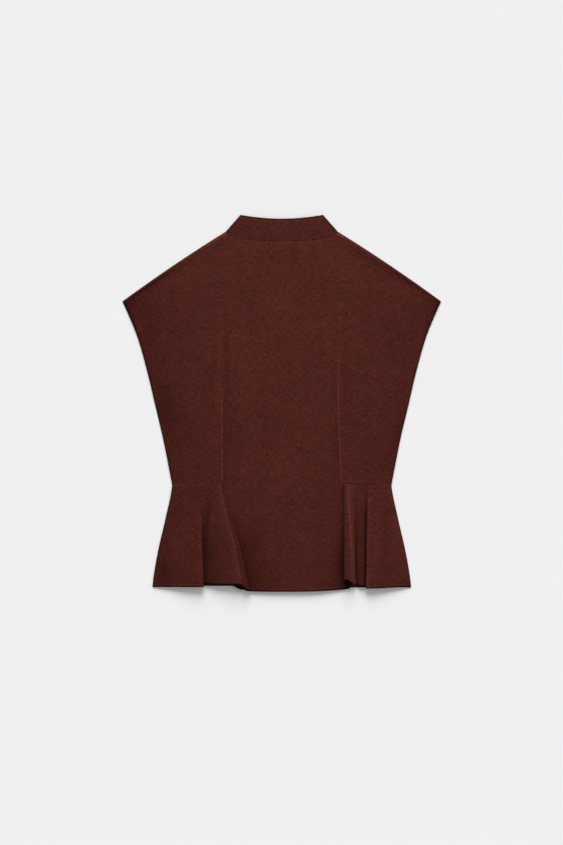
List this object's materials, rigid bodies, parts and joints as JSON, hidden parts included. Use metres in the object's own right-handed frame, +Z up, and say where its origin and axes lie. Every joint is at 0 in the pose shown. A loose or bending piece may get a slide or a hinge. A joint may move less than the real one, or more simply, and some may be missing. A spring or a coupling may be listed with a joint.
{
  "type": "peplum top",
  "caption": "Sleeveless peplum top with a standing collar, laid flat with its back upwards; flared peplum folded at the sides.",
  "frame": {"origin": "middle of the garment's footprint, on the surface it lies on", "axes": "+Z up out of the surface and out of the shown back, +Y from the hem to the collar, +X to the wearer's right"},
  "size_m": [0.516, 0.6101, 0.0153],
  "materials": {
    "back_body": "matt woven crepe",
    "back_peplum_left": "matt woven crepe",
    "back_peplum_right": "matt woven crepe",
    "front_body_left": "matt woven crepe",
    "front_body_right": "matt woven crepe",
    "front_peplum_left": "matt woven crepe",
    "front_peplum_right": "matt woven crepe",
    "collar": "matt woven crepe"
  },
  "bodies": {
    "root": {"back_body": "back_body", "back_peplum_left": "back_peplum_left", "back_peplum_right": "back_peplum_right", "front_body_left": "front_body_left", "front_body_right": "front_body_right", "front_peplum_left": "front_peplum_left", "front_peplum_right": "front_peplum_right", "collar": "collar"}
  },
  "joints": []
}
